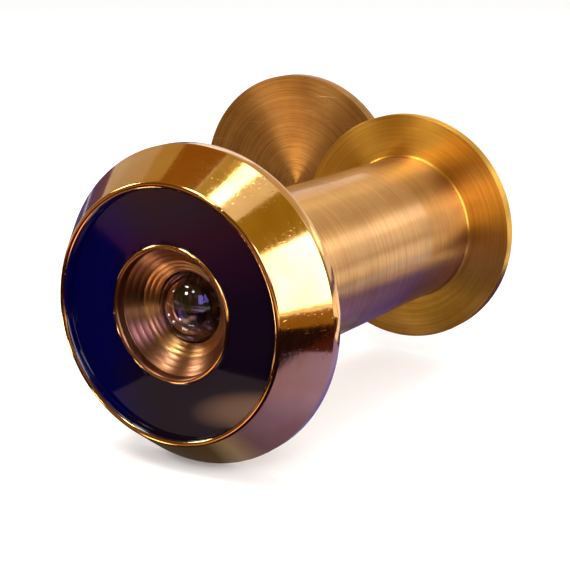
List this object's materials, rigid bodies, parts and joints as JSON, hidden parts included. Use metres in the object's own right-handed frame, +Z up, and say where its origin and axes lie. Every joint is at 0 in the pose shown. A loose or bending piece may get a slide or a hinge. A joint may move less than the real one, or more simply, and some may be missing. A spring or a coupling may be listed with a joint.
{
  "type": "door viewer",
  "caption": "Brass door viewer: dished bezel with a domed wide-angle lens, a barrel that screws onto a flanged eyepiece tube, and a round privacy cover that swings aside.",
  "frame": {"origin": "on the viewing axis, in the plane where the bezel seats on the outdoor face of the door", "axes": "+Y along the viewing axis from the outdoor bezel to the indoor flange, +Z up as in the picture, +X to the right seen from outdoors"},
  "size_m": [0.0377, 0.0441, 0.0271],
  "materials": {
    "polished_brass": "turned from bar and polished, lacquered",
    "turned_brass": "faced on a lathe, fine concentric tool marks, satin",
    "optical_glass": "ground and polished, clear",
    "blacked_aluminium": "black anodised, matt",
    "spring_steel": "drawn wire and pressed strip, bright",
    "black_rubber": "moulded, matt"
  },
  "bodies": {
    "outer_half": {"outer_barrel": "polished_brass", "front_lens_seal": "black_rubber", "front_lens": "optical_glass", "front_spacer": "blacked_aluminium", "middle_lens": "optical_glass", "rear_spacer": "blacked_aluminium", "rear_lens": "optical_glass", "lens_lock_ring": "turned_brass"},
    "eyepiece": {"eyepiece_lens": "optical_glass"},
    "inner_half": {"inner_tube": "turned_brass", "eyepiece_spring_ring": "spring_steel", "cover_rivet": "turned_brass", "cover_spring_washer": "spring_steel"},
    "cover": {"privacy_cover": "turned_brass"}
  },
  "joints": [
    {"name": "screw_travel", "type": "slide", "parent": "outer_half", "child": "eyepiece", "axis": [0, 1, 0], "range_m": [0, 0.02]},
    {"name": "screw_turn", "type": "hinge", "parent": "eyepiece", "child": "inner_half", "pos_m": [0, 0.035, 0], "axis": [0, 1, 0], "range_deg": [0, 5760]},
    {"name": "cover_swing", "type": "hinge", "parent": "inner_half", "child": "cover", "pos_m": [-0.00795, 0.0372, -0.00421], "axis": [0, 1, 0], "continuous": true}
  ],
  "couplings": [
    {"joint": "screw_travel", "follows": "screw_turn", "m_per_rad": 0.00019894}
  ]
}
